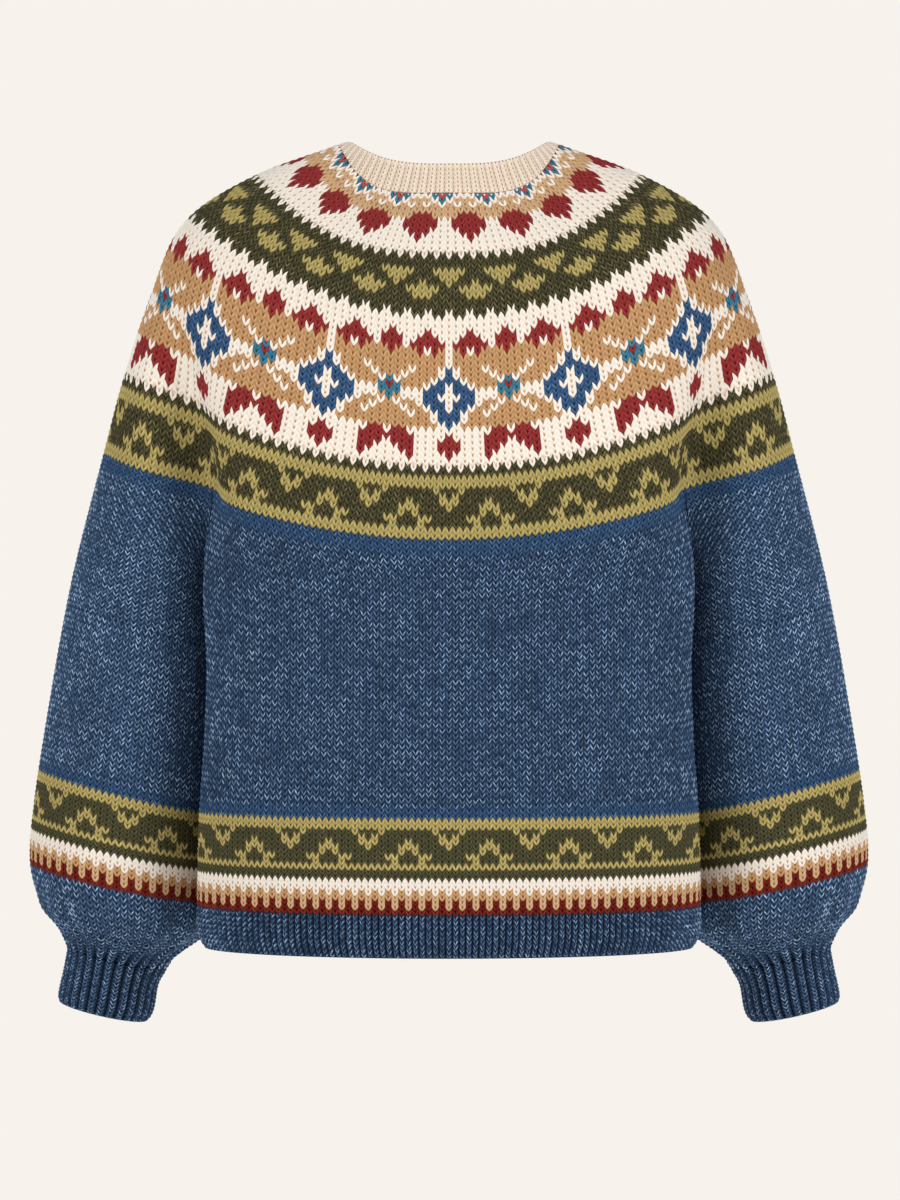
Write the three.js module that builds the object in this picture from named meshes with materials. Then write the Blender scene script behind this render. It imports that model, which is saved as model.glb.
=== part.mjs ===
// A circular-yoke pullover in fair isle knitting, with balloon sleeves and ribbed edges,
// filled out as it is when worn, hollow and open at the neck, the hem and the cuffs.
// Millimetres, +Z up. The wearer faces +Y and the wearer's right hand is on the +X side.
// The origin is the middle of the neck opening, level with the tops of the shoulders.
import * as THREE from "three";

const wall = 3; // thickness of the knitted cloth
const seamGap = 0.3; // between two pieces that are sewn or grafted together
const cornerGap = 0.8; // at the underarm corners, where the yoke, the body and a sleeve meet
const ribHeight = 1.2; // how far a rib stands above the furrow beside it

// Faces along each stretch of the yoke's lower edge, and across each piece.
const facesAcross = { halfBack: 15, arm: 26, underarm: 6, halfFront: 15 };
const ribCount = { neckband: 44, hem: 84, cuff: 24 };
const facesDown = { yoke: 10, neckband: 2, hem: 2, cuff: 3 };

// The rows of a table as objects with its column names.
const table = (columns, rows) =>
  rows.map((row) => Object.fromEntries(columns.map((name, i) => [name, row[i]])));

// Rings of the yoke, from the seam at the neckband (level 0) to the underarm (level 1).
// Y and Z are given at the centre back, at the side (over the arm) and at the centre front.
// The rises say how late the ring climbs from the back or the front to its side.
const neckColumns = [
  "halfWidth", "backY", "sideY", "frontY", "backZ", "sideZ", "frontZ", "backRise", "frontRise",
];
const yokeRings = table(["level", ...neckColumns], [
  [0.0, 85, -52, 5, 74, -46, -2, -95, 4.5, 2.4],
  [0.2, 153, -84, 4, 100, -98, -28, -140, 2.6, 2.2],
  [0.4, 205, -105, 4, 115, -149, -64, -184, 2, 2],
  [0.6, 231, -118, 5, 123, -205, -123, -228, 2, 2],
  [0.8, 251, -124, 6, 126, -260, -184, -272, 2, 2],
  [1.0, 266, -126, 8, 126, -309, -240, -314, 2, 2],
]);

// The free edge of the neckband, drawn in towards the neck.
const neckEdge = table(neckColumns, [[69, -46, 6, 62, -23, 0, -76, 3, 2.4]])[0];

// The folds that part the arms from the back and from the front. Each lies where the ring passes
// the distance x from the middle, deepens from level start to the underarm, and reaches in there.
const armFolds = {
  back: { x: 205, start: 0.5, width: 0.15, inX: 24, inY: 38 },
  front: { x: 200, start: 0.5, width: 0.15, inX: 24, inY: -36 },
};

// How far the middle of the underarm hangs below the ends of those folds.
const underarmSag = 24;

// Level rings of the body below the underarm. dent is how far the sleeve presses the side in.
const bodyColumnNames = ["z", "halfWidth", "backY", "sideY", "frontY", "dent"];
const bodyRings = table(bodyColumnNames, [
  [-338, 196, -127, -38, 125, 26],
  [-400, 192, -127, -38, 125, 20],
  [-460, 191, -127, -38, 126, 12],
  [-520, 192, -127, -38, 126, 5],
  [-580, 191, -126, -38, 125, 1],
]);
const hemRings = table(bodyColumnNames, [
  [-580, 191, -126, -38, 125, 1],
  [-592, 191, -126, -38, 125, 1],
  [-606, 190, -125, -38, 124, 1],
  [-616, 185, -122, -38, 121, 1],
]);
const dentShape = { angle: 1.83, width: 0.42 };

// Sloping rings of a sleeve, for the arm on the +X side, by the places of its outermost and
// innermost points. The last one is the seam at the cuff.
const armColumnNames = ["outerX", "outerZ", "innerX", "innerZ", "y", "halfDepth"];
const sleeveRings = table(armColumnNames, [
  [286, -312, 177, -348, 20, 66],
  [297, -358, 177, -394, 27, 66],
  [311, -431, 179, -467, 36, 68],
  [324, -509, 182, -543, 45, 74],
  [328, -557, 184, -588, 50, 77],
  [320, -589, 191, -612, 52, 70],
  [305, -609, 208, -626, 53, 55],
  [299, -626, 227, -641, 54, 38],
]);
const cuffRings = table(armColumnNames, [
  [299, -626, 227, -641, 54, 38],
  [302, -642, 230, -657, 54, 37],
  [306, -660, 233, -675, 54, 36],
  [306, -668, 238, -684, 54, 33],
]);

// Gathers where a sleeve is drawn in to its cuff: they rise from nothing over the last rings.
const gathers = { count: 8, depth: 2.2, fromZ: -585, toZ: -622 };

const yarn = {
  yoke: { color: 0xe9dcc8, roughness: 0.95 },
  body: { color: 0x3f5a7d, roughness: 0.95 },
  neckband: { color: 0xe6d4bd, roughness: 0.95 },
};

const mix = (a, b, t) => a + (b - a) * t;
const ease = (t) => t * t * (3 - 2 * t);
const clamp = (t) => Math.min(1, Math.max(0, t));

// A cubic curve through the values given at rising places.
function curveThrough(places, values, at) {
  let i = 0;
  while (i < places.length - 2 && at > places[i + 1]) i += 1;
  const slope = (k) => {
    const a = Math.max(0, k - 1);
    const b = Math.min(places.length - 1, k + 1);
    return (values[b] - values[a]) / (places[b] - places[a]);
  };
  const span = places[i + 1] - places[i];
  const t = (at - places[i]) / span;
  const t2 = t * t;
  const t3 = t2 * t;
  return (
    (2 * t3 - 3 * t2 + 1) * values[i] +
    (t3 - 2 * t2 + t) * span * slope(i) +
    (3 * t2 - 2 * t3) * values[i + 1] +
    (t3 - t2) * span * slope(i + 1)
  );
}

// The row of a table at any place between its rows.
function rowAt(rows, key, at) {
  const places = rows.map((row) => row[key]);
  const found = {};
  for (const name of Object.keys(rows[0])) {
    found[name] = curveThrough(places, rows.map((row) => row[name]), at);
  }
  return found;
}

// Half of a ring from the centre back (angle 0) over the side to the centre front (angle pi).
function ringPoint(ring, angle) {
  const toEnd = Math.cos(angle);
  const toSide = Math.sin(angle);
  const endY = toEnd > 0 ? ring.backY : ring.frontY;
  const endZ = toEnd > 0 ? ring.backZ : ring.frontZ;
  const rise = toEnd > 0 ? ring.backRise : ring.frontRise;
  return new THREE.Vector3(
    ring.halfWidth * toSide,
    mix(ring.sideY, endY, Math.abs(toEnd)),
    mix(endZ, ring.sideZ, Math.pow(toSide, rise)),
  );
}

function yokeRingPoint(level, angle) {
  const ring = rowAt(yokeRings, "level", level);
  const p = ringPoint(ring, angle);
  for (const fold of Object.values(armFolds)) {
    const middle = Math.asin(Math.min(1, fold.x / ring.halfWidth));
    const at = fold.inY > 0 ? middle : Math.PI - middle;
    const depth = ease(clamp((level - fold.start) / (1 - fold.start)));
    const near = depth * Math.exp(-(((angle - at) / fold.width) ** 2));
    p.x -= fold.inX * near;
    p.y += fold.inY * near;
  }
  return p;
}

function bodyRingPoint(ring, angle) {
  const toEnd = Math.cos(angle);
  const dent = ring.dent * Math.exp(-(((angle - dentShape.angle) / dentShape.width) ** 2));
  return new THREE.Vector3(
    (ring.halfWidth - dent) * Math.sin(angle),
    mix(ring.sideY, toEnd > 0 ? ring.backY : ring.frontY, Math.abs(toEnd)),
    ring.z,
  );
}

// A sleeve's ring from its outermost point (angle 0) over its back to the innermost (angle pi).
function sleeveRingPoint(ring, angle, towardsBack) {
  const along = (1 - Math.cos(angle)) / 2;
  return new THREE.Vector3(
    mix(ring.outerX, ring.innerX, along),
    ring.y + (towardsBack ? -1 : 1) * ring.halfDepth * Math.sin(angle),
    mix(ring.outerZ, ring.innerZ, along),
  );
}

// A ring of a sleeve with the gathers above the cuff, which push it in and out in its own plane.
function gathered(row) {
  const middle = new THREE.Vector3();
  for (const p of row) middle.addScaledVector(p, 1 / row.length);
  return row.map((p, c) => {
    const near = ease(clamp((gathers.fromZ - p.z) / (gathers.fromZ - gathers.toZ)));
    const wave = Math.cos((2 * Math.PI * gathers.count * c) / row.length);
    const out = new THREE.Vector3().subVectors(p, middle).normalize();
    return p.clone().addScaledVector(out, gathers.depth * near * wave);
  });
}

// Points at even steps of length along the curve that pointAt draws between two angles.
function evenSteps(pointAt, from, to, count) {
  const fine = 160;
  const line = [];
  for (let i = 0; i <= fine; i += 1) line.push(pointAt(mix(from, to, i / fine)));
  const run = [0];
  for (let i = 1; i <= fine; i += 1) run.push(run[i - 1] + line[i].distanceTo(line[i - 1]));
  const points = [];
  let k = 0;
  for (let i = 0; i <= count; i += 1) {
    const length = (run[fine] * i) / count;
    while (k < fine - 1 && run[k + 1] < length) k += 1;
    const t = (length - run[k]) / (run[k + 1] - run[k]);
    points.push(line[k].clone().lerp(line[k + 1], t));
  }
  return points;
}

const foldAngles = {
  back: Math.asin(armFolds.back.x / yokeRings.at(-1).halfWidth),
  front: Math.PI - Math.asin(armFolds.front.x / yokeRings.at(-1).halfWidth),
};

// The three stretches of the yoke's ring at a level, on the +X side: from the centre back to the
// fold, over the arm to the other fold, and on to the centre front. Above the underarm a stretch
// keeps the share of the ring that it has there.
const shareOfRing = (() => {
  const lengthTo = (angle) => {
    let length = 0;
    const fine = 400;
    for (let i = 0; i < fine; i += 1) {
      const a = yokeRingPoint(1, (angle * i) / fine);
      length += a.distanceTo(yokeRingPoint(1, (angle * (i + 1)) / fine));
    }
    return length;
  };
  const whole = lengthTo(Math.PI);
  return { back: lengthTo(foldAngles.back) / whole, front: lengthTo(foldAngles.front) / whole };
})();

// Any whole curve from centre back to centre front, split in those three stretches.
function inStretches(pointAt) {
  const fine = 600;
  const line = evenSteps(pointAt, 0, Math.PI, fine);
  const at = (share) => {
    const i = Math.min(fine - 1, Math.floor(share * fine));
    return line[i].clone().lerp(line[i + 1], share * fine - i);
  };
  const stretch = (from, to, faces) =>
    Array.from({ length: faces }, (_, i) => at(mix(from, to, i / faces)));
  return [
    ...stretch(0, shareOfRing.back, facesAcross.halfBack),
    ...stretch(shareOfRing.back, shareOfRing.front, facesAcross.arm),
    ...stretch(shareOfRing.front, 1, facesAcross.halfFront),
    at(1),
  ];
}

// A point of a column of knots, its place counted in knots.
function alongColumn(knots, place) {
  const run = [0];
  for (let i = 1; i < knots.length; i += 1) {
    run.push(run[i - 1] + Math.sqrt(knots[i].distanceTo(knots[i - 1])));
  }
  const i = Math.min(knots.length - 2, Math.floor(place));
  const at = mix(run[i], run[i + 1], place - i);
  return new THREE.Vector3(
    curveThrough(run, knots.map((p) => p.x), at),
    curveThrough(run, knots.map((p) => p.y), at),
    curveThrough(run, knots.map((p) => p.z), at),
  );
}

// Rows of points drawn down through rings that have the same number of points.
function rowsThrough(rings, places) {
  return places.map((place) =>
    rings[0].map((_, c) => alongColumn(rings.map((ring) => ring[c]), place)),
  );
}

// Outward normals of a grid of rows and columns whose last column meets its first.
function normalsOf(rows) {
  const across = rows[0].length;
  return rows.map((row, r) =>
    row.map((_, c) => {
      const next = row[(c + 1) % across];
      const wide = new THREE.Vector3().subVectors(next, row[(c + across - 1) % across]);
      const down = rows[Math.min(rows.length - 1, r + 1)][c];
      const up = rows[Math.max(0, r - 1)][c];
      return wide.cross(new THREE.Vector3().subVectors(up, down)).normalize();
    }),
  );
}

// A closed wall on a grid of outer points, with its inner face one thickness behind them.
function wallOn(name, look, outer, normals, isTube, bump = () => 0) {
  const across = outer[0].length;
  const down = outer.length;
  const positions = [];
  for (const isInner of [false, true]) {
    for (let r = 0; r < down; r += 1) {
      for (let c = 0; c < across; c += 1) {
        const out = isInner ? -wall : bump(r, c);
        const p = outer[r][c].clone().addScaledVector(normals[r][c], out);
        positions.push(p.x, p.y, p.z);
      }
    }
  }
  const index = [];
  const at = (layer, r, c) => (layer * down + r) * across + (c % across);
  const quad = (a, b, c, d) => index.push(a, b, c, a, c, d);
  const lastRow = down - 1;
  const lastFace = isTube ? across : across - 1;
  for (let c = 0; c < lastFace; c += 1) {
    for (let r = 0; r < lastRow; r += 1) {
      quad(at(0, r, c), at(0, r + 1, c), at(0, r + 1, c + 1), at(0, r, c + 1));
      quad(at(1, r, c), at(1, r, c + 1), at(1, r + 1, c + 1), at(1, r + 1, c));
    }
    quad(at(0, 0, c), at(0, 0, c + 1), at(1, 0, c + 1), at(1, 0, c));
    quad(at(0, lastRow, c), at(1, lastRow, c), at(1, lastRow, c + 1), at(0, lastRow, c + 1));
  }
  for (let r = 0; r < lastRow && !isTube; r += 1) {
    quad(at(0, r, 0), at(1, r, 0), at(1, r + 1, 0), at(0, r + 1, 0));
    quad(at(0, r, lastFace), at(0, r + 1, lastFace), at(1, r + 1, lastFace), at(1, r, lastFace));
  }
  const geometry = new THREE.BufferGeometry();
  geometry.setAttribute("position", new THREE.Float32BufferAttribute(positions, 3));
  geometry.setIndex(index);
  geometry.computeVertexNormals();
  const mesh = new THREE.Mesh(geometry, new THREE.MeshStandardMaterial({ ...look, metalness: 0 }));
  mesh.name = name;
  return mesh;
}

const mirrored = (p) => new THREE.Vector3(-p.x, p.y, p.z);

// A whole ring from its +X half, which runs from the centre back to the centre front.
function wholeRing(half) {
  return [...half, ...half.slice(1, -1).reverse().map(mirrored)];
}

// The direction half way between two others.
const between = (a, b) => new THREE.Vector3().addVectors(a, b).normalize();

// A row moved towards its neighbour by half of the gap at a seam.
function atSeam(row, neighbour) {
  return row.map((p, c) => {
    const way = new THREE.Vector3().subVectors(neighbour[c], p).normalize();
    return p.clone().addScaledVector(way, seamGap / 2);
  });
}

// Both ends of a grid of rows opened at their seams.
function withOpenEnds(rows) {
  const n = rows.length;
  return rows.map((row, r) => {
    if (r === 0) return atSeam(row, rows[1]);
    return r === n - 1 ? atSeam(row, rows[n - 2]) : row;
  });
}

// Ribs run down a wall's columns: each second column stands up.
const ribs = (r, c) => (c % 2 === 0 ? ribHeight / 2 : -ribHeight / 2);

// Values at even steps from 0 to 1.
const shares = (steps) => Array.from({ length: steps + 1 }, (_, i) => i / steps);

const group = new THREE.Group();

// The yoke
const neckSeam = yokeRings[0];
const neckRing = (up) => {
  const ring = {};
  for (const name of Object.keys(neckEdge)) ring[name] = mix(neckSeam[name], neckEdge[name], up);
  return (angle) => ringPoint(ring, angle);
};
const yokeRing = (level) => inStretches((angle) => yokeRingPoint(level, angle));
const step = 1 / facesDown.yoke;
const yokeRows = shares(facesDown.yoke).map((level) => wholeRing(yokeRing(level)));
const bandAbove = wholeRing(inStretches(neckRing(0.5)));
const yokeNormals = normalsOf([bandAbove, ...yokeRows]).slice(1);
group.add(wallOn("yoke", yarn.yoke, withOpenEnds(yokeRows), yokeNormals, true));

// The neckband, on the yoke's upper edge
const neckRow = (up) => wholeRing(evenSteps(neckRing(up), 0, Math.PI, ribCount.neckband));
const yokeBelow = wholeRing(
  evenSteps((angle) => yokeRingPoint(step, angle), 0, Math.PI, ribCount.neckband),
);
const bandRows = shares(facesDown.neckband).map((down) => neckRow(1 - down));
const bandNormals = normalsOf([...bandRows, yokeBelow]).slice(0, -1);
group.add(wallOn("neckband", yarn.neckband, withOpenEnds(bandRows), bandNormals, true, ribs));

// The underarm line, on the +X side, from the end of the back fold to the end of the front fold
const underYoke = yokeRows.at(-1);
const aboveSeam = yokeRing(1 - step / 2);
const backFold = facesAcross.halfBack;
const frontFold = backFold + facesAcross.arm;
const centreFront = frontFold + facesAcross.halfFront;
const underarmLine = shares(facesAcross.underarm).map((t) => {
  const p = underYoke[backFold].clone().lerp(underYoke[frontFold], t);
  p.z -= underarmSag * Math.sin(Math.PI * t);
  return p;
});

// A whole ring of the +X sleeve or cuff, from beside its innermost point over its back to its
// outermost point, and on over its front.
function armLoop(ring, half) {
  const back = evenSteps((angle) => sleeveRingPoint(ring, angle, true), 0, Math.PI, half);
  const front = evenSteps((angle) => sleeveRingPoint(ring, angle, false), 0, Math.PI, half);
  return [...back.slice(0, half).reverse(), ...front.slice(1)];
}

// The same with its columns counted from the back fold over the arm to the front fold, and back
// along the underarm.
const sleeveColumns = facesAcross.arm + facesAcross.underarm;
function sleeveRing(ring) {
  const half = sleeveColumns / 2;
  const loop = armLoop(ring, half);
  const start = half - 1 - facesAcross.arm / 2;
  return loop.map((_, c) => loop[(c + start) % sleeveColumns].clone());
}
const armRings = sleeveRings.map(sleeveRing);

// Half rings of the body, on the +X side
const bodyColumns = backFold + facesAcross.underarm + facesAcross.halfFront;
const halfBodyRings = bodyRings.map((ring) =>
  evenSteps((angle) => bodyRingPoint(ring, angle), 0, Math.PI, bodyColumns),
);

// Where the body and the sleeve meet under the arm, each column starts on the other piece, so
// that the cloth leaves the underarm line in a smooth curve.
const joined = (back, side, front) => [...back, ...side, ...front];
const sidePoints = underarmLine.slice(1, -1);
const bodySide = (row) => row.slice(backFold + 1, backFold + facesAcross.underarm);
const armSide = (row) => row.slice(facesAcross.arm + 1).reverse();
const stretches = (row) => [row.slice(0, backFold + 1), row.slice(frontFold, centreFront + 1)];

const [backAbove, frontAbove] = stretches(aboveSeam);
const [backTop, frontTop] = stretches(underYoke);
const [backNormals, frontNormals] = stretches(yokeNormals.at(-1));
const bodyTop = joined(backTop, sidePoints, frontTop);
const bodyKnots = [joined(backAbove, armSide(armRings[0]), frontAbove), bodyTop, ...halfBodyRings];
const armTop = [...underYoke.slice(backFold, frontFold + 1), ...sidePoints.slice().reverse()];
const armAbove = [
  ...aboveSeam.slice(backFold, frontFold + 1),
  ...bodySide(halfBodyRings[0]).reverse(),
];
const armKnots = [armAbove, armTop, ...armRings];

// Parts the tops of the body and the sleeve along the underarm. Where three pieces meet, at the
// ends of the folds, the corners of these two also stop a little lower.
function partUnderarm(top, own, other, isUnderarm, isCorner) {
  return top.map((p, c) => {
    if (!isUnderarm(c)) return p;
    const way = new THREE.Vector3().subVectors(own[c], other(c)).normalize();
    const parted = p.clone().addScaledVector(way, seamGap);
    if (isCorner(c)) parted.z -= cornerGap;
    return parted;
  });
}

// The body, in a back and a front piece that meet at the sides
const bodyPlaces = [1, 1.3, 1.6, 2, 2.5, 3, 4, 5, 6];
const halfBody = rowsThrough(bodyKnots, bodyPlaces);
const armPlaces = [1, 1.3, 1.6, 2, 2.5, 3, 4, 5, 5.6, 6.1, 6.6, 7.1, 7.6, 8.3, 9];
const arm = rowsThrough(armKnots, armPlaces);

const underBody = (c) => c >= backFold && c <= backFold + facesAcross.underarm;
const bodyCorner = (c) => c === backFold || c === backFold + facesAcross.underarm;
const armColumnUnder = (c) => (frontFold + facesAcross.underarm - c) % sleeveColumns;
const bodyRows = halfBody.map(wholeRing);
const bodyNormals = normalsOf(bodyRows);
const ownSide = bodyNormals[0].slice(backFold, backFold + facesAcross.underarm + 1);
bodyNormals[0] = wholeRing([
  ...backNormals.slice(0, -1),
  between(backNormals.at(-1), ownSide[0]),
  ...ownSide.slice(1, -1),
  between(frontNormals[0], ownSide.at(-1)),
  ...frontNormals.slice(1),
]);
const openBody = withOpenEnds(halfBody);
const armBeside = (c) => arm[3][armColumnUnder(c)];
openBody[0] = partUnderarm(openBody[0], halfBody[3], armBeside, underBody, bodyCorner);
const openBodyRows = openBody.map(wholeRing);

function bodyPiece(name, from, to) {
  const around = bodyRows[0].length;
  const pick = (rows) =>
    rows.map((row) =>
      Array.from({ length: to - from + 1 }, (_, i) => row[(from + i + around) % around].clone()),
    );
  const points = pick(openBodyRows);
  for (const row of points) {
    const sides = atSeam([row[0], row.at(-1)], [row[1], row.at(-2)]);
    [row[0], row[row.length - 1]] = sides;
  }
  return wallOn(name, yarn.body, points, pick(bodyNormals), false);
}
const sideSeam = backFold + facesAcross.underarm / 2;
group.add(bodyPiece("body_back", -sideSeam, sideSeam));
group.add(bodyPiece("body_front", sideSeam, 2 * bodyColumns - sideSeam));

// The ribbed hem
const hemDown = hemRings.map((row) => ({ ...row, down: -row.z }));
const hemRows = shares(facesDown.hem).map((t) => {
  const ring = rowAt(hemDown, "down", mix(hemDown[0].down, hemDown.at(-1).down, t));
  return wholeRing(evenSteps((angle) => bodyRingPoint(ring, angle), 0, Math.PI, ribCount.hem));
});
group.add(wallOn("hem", yarn.body, withOpenEnds(hemRows), normalsOf(hemRows), true, ribs));

// The sleeves and their cuffs, each made for the +X arm and mirrored for the other
const armNormals = normalsOf(arm);
for (let c = 0; c <= facesAcross.arm; c += 1) {
  const atYoke = yokeNormals.at(-1)[backFold + c];
  const isEnd = c === 0 || c === facesAcross.arm;
  armNormals[0][c] = isEnd ? between(atYoke, armNormals[0][c]) : atYoke;
}
const openArm = withOpenEnds(arm.map(gathered));
const underArm = (c) => c === 0 || c >= facesAcross.arm;
const armCorner = (c) => c === 0 || c === facesAcross.arm;
const bodyBeside = (c) => halfBody[3][backFold + ((sleeveColumns - c) % sleeveColumns)];
openArm[0] = partUnderarm(openArm[0], arm[3], bodyBeside, underArm, armCorner);

const cuffDown = cuffRings.map((row, place) => ({ ...row, place }));
const cuffRows = shares(facesDown.cuff).map((t) =>
  armLoop(rowAt(cuffDown, "place", t * (cuffRings.length - 1)), ribCount.cuff),
);
const cuffNormals = normalsOf(cuffRows);

// Mirrored rows run the other way round from the same first column.
const flipped = (rows) => rows.map((row) => [row[0], ...row.slice(1).reverse()].map(mirrored));
const openCuff = withOpenEnds(cuffRows);
for (const [side, turn] of [["right", (rows) => rows], ["left", flipped]]) {
  group.add(wallOn(`sleeve_${side}`, yarn.body, turn(openArm), turn(armNormals), true));
  group.add(wallOn(`cuff_${side}`, yarn.body, turn(openCuff), turn(cuffNormals), true, ribs));
}

export default group;
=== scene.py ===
import bpy
import bmesh
import math
import numpy as np
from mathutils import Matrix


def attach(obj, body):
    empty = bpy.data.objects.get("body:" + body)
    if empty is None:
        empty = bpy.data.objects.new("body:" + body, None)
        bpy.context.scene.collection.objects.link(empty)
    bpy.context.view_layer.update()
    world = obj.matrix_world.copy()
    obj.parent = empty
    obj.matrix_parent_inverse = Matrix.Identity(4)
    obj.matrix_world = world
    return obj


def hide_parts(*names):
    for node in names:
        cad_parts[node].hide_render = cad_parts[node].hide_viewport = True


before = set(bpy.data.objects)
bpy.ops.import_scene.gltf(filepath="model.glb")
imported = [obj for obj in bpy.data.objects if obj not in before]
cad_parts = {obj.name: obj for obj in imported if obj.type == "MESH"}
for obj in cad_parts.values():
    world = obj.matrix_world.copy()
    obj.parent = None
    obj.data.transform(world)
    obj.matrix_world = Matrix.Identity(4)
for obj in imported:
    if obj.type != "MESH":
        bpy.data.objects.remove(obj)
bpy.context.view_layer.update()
scene = bpy.context.scene
bpy.ops.object.select_all(action="DESELECT")
rng = np.random.default_rng(7)
print("frame loaded")

# The yarns as sRGB values of a strand's crown and of the painted shade in its gap, how much its strands
# vary, how narrow the lit crown is, and how heathered it is, which also weighs its painted furrow shade
yarns = {
    "c": ((254, 249, 241), (216, 188, 156), 0.02, 0.4, 0),
    "t": ((213, 169, 121), (128, 82, 44), 0.08, 0.65, 0.06),
    "l": ((224, 190, 148), (160, 108, 66), 0.05, 0.6, 0),
    "r": ((161, 58, 58), (80, 19, 22), 0.09, 0.7, 0.12),
    "o": ((86, 82, 57), (27, 27, 16), 0.13, 1.0, 0.7),
    "v": ((90, 88, 62), (26, 28, 16), 0.15, 1.0, 0.08),
    "g": ((202, 185, 118), (90, 80, 38), 0.07, 0.8, 0.06),
    "b": ((66, 100, 142), (24, 46, 76), 0.12, 0.9, 0.35),
    "e": ((70, 134, 160), (24, 70, 98), 0.10, 0.7, 0.1),
    "p": ((204, 96, 84), (120, 36, 36), 0.08, 0.7, 0.1),
    "n": ((60, 86, 120), (7, 18, 38), 0.14, 1.0, 1),
    "m": ((68, 96, 132), (9, 21, 42), 0.14, 1.0, 1),
    "d": ((57, 88, 126), (15, 32, 58), 0.08, 0.9, 0.35),
    "k": ((64, 92, 126), (11, 22, 40), 0.14, 1.0, 0.9),
    "u": ((122, 36, 26), (48, 11, 8), 0.10, 0.8, 0.1),
    "w": ((134, 48, 32), (58, 17, 11), 0.10, 0.7, 0.1),
    "s": ((255, 247, 234), (196, 156, 114), 0.03, 0.6, 0),
}
yarnNames = list(yarns)


def linear(rgb):
    s = np.array(rgb) / 255
    return np.where(s <= 0.04045, s / 12.92, ((s + 0.055) / 1.055) ** 2.4)


crowns = np.array([linear(yarns[k][0]) for k in yarnNames])
gapShade = np.array([linear(yarns[k][1]) for k in yarnNames])
variation = np.array([yarns[k][2] for k in yarnNames])
narrowness = np.array([yarns[k][3] for k in yarnNames])
# The heather amount also weighs the painted furrow shade
heatherAndShade = np.array([yarns[k][4] for k in yarnNames])

# How a stitch is formed. Its legs slant down to its middle by slant rows, and wall, crown, tip, side,
# between and hole are millimetres. A free edge is straight and thin, and the inner face has one tone.
stitch = {
    "wall": 3.0, "slant": 0.893, "seam": 0.04,
    "crown": 0.75, "tip": 0.25, "side": -0.1, "between": -0.35, "hole": -0.75,
    "straightening": 1.6, "edgeHeight": 0.1, "innerTone": 0.45,
}
# How a rib's sunk columns differ: where they begin, how low their stitches are, and how much painted
# shade darkens them
rib = {"sunkFrom": -0.1, "sunkHeight": 0.55, "drop": 0.6, "shade": 0.38, "light": 0.5, "darkest": 0.06}
facesAcross, facesDown = 4, 2


def mix(a, b, t):
    return a + (b - a) * t


def ease(t):
    t = np.clip(t, 0, 1)
    return t * t * (3 - 2 * t)


# A smooth curve from one value to the next, with its slopes at both and the length between them
def bridged(t, span, first, second, firstSlope, secondSlope):
    t2, t3 = t * t, t * t * t
    return (
        (2 * t3 - 3 * t2 + 1) * first
        + (t3 - 2 * t2 + t) * span * firstSlope
        + (3 * t2 - 2 * t3) * second
        + (t3 - t2) * span * secondSlope
    )


# The knots before and after each of a row of knots
def neighbours(count):
    k = np.arange(count)
    return np.maximum(0, k - 1), np.minimum(count - 1, k + 1)


# A smooth curve through the values given at rising places
def curveThrough(places, values, at):
    places, values = np.asarray(places, float), np.asarray(values, float)
    before, after = neighbours(len(places))
    wide = (-1,) + (1,) * (values.ndim - 1)
    slopes = (values[after] - values[before]) / (places[after] - places[before]).reshape(wide)
    i = np.clip(np.searchsorted(places, at, side="right") - 1, 0, len(places) - 2)
    span = (places[i + 1] - places[i]).reshape(wide)
    t = ((at - places[i]) / (places[i + 1] - places[i])).reshape(wide)
    return bridged(t, span, values[i], values[i + 1], slopes[i], slopes[i + 1])


# Even places from the first to the last, and the row of a field at which a place lies
def evenPlaces(first, last, count):
    return np.linspace(first, last, count), lambda at: (at - first) / (last - first) * (count - 1)


# The length run down each column of a field, from the steps between its rows
def runDown(steps):
    return np.vstack([np.zeros(steps.shape[1]), np.cumsum(steps, axis=0)])


def stepsDown(field):
    return np.linalg.norm(np.diff(field, axis=0), axis=2)


# Half rings from the centre back over the +X side to the centre front, at even steps of length
def evenHalf(points, count):
    run = np.concatenate([[0], np.cumsum(np.linalg.norm(np.diff(points, axis=0), axis=1))])
    at = np.linspace(0, run[-1], count + 1)
    return np.stack([np.interp(at, run, points[:, k]) for k in range(3)], axis=1)


def wholeRing(half):
    return np.concatenate([half, half[-2:0:-1] * (-1, 1, 1)])


halfColumns = 528
fineColumns = 2 * halfColumns
angles = np.linspace(0, math.pi, 241)


# Yoke rings: level, half width, then Y and Z at the back, the side and the front, and two rises.
# Its stitches lie a little closer at the centre back between the middle ones of the closer levels.
yokeForm = {
    "rings": np.array([
        [0.0, 85, -52, 5, 74, -46, -2, -95, 4.5, 2.4],
        [0.2, 153, -84, 4, 100, -98, -28, -140, 2.6, 2.2],
        [0.4, 205, -105, 4, 115, -149, -64, -184, 2, 2],
        [0.6, 231, -118, 5, 123, -205, -123, -228, 2, 2],
        [0.8, 251, -124, 6, 126, -260, -184, -272, 2, 2],
        [1.0, 266, -126, 8, 126, -309, -240, -314, 2, 2],
    ]),
    "foldsX": (205, 200), "foldsInY": (38, -36), "foldInX": 24, "foldStart": 0.5, "foldWidth": 0.15,
    "underarmSag": 24, "closer": 0.0067, "closerLevels": (0.2, 0.42, 0.79, 1.0),
    "stitches": 264, "innerRows": 60,
}


def ringPoints(ring):
    halfWidth, backY, sideY, frontY, backZ, sideZ, frontZ, backRise, frontRise = ring
    toEnd, toSide = np.cos(angles), np.sin(angles)
    isBack = toEnd > 0
    endY = np.where(isBack, backY, frontY)
    endZ = np.where(isBack, backZ, frontZ)
    rise = np.where(isBack, backRise, frontRise)
    return np.stack([
        halfWidth * toSide,
        mix(sideY, endY, np.abs(toEnd)),
        mix(endZ, sideZ, np.abs(toSide) ** rise),
    ], axis=1)


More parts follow.
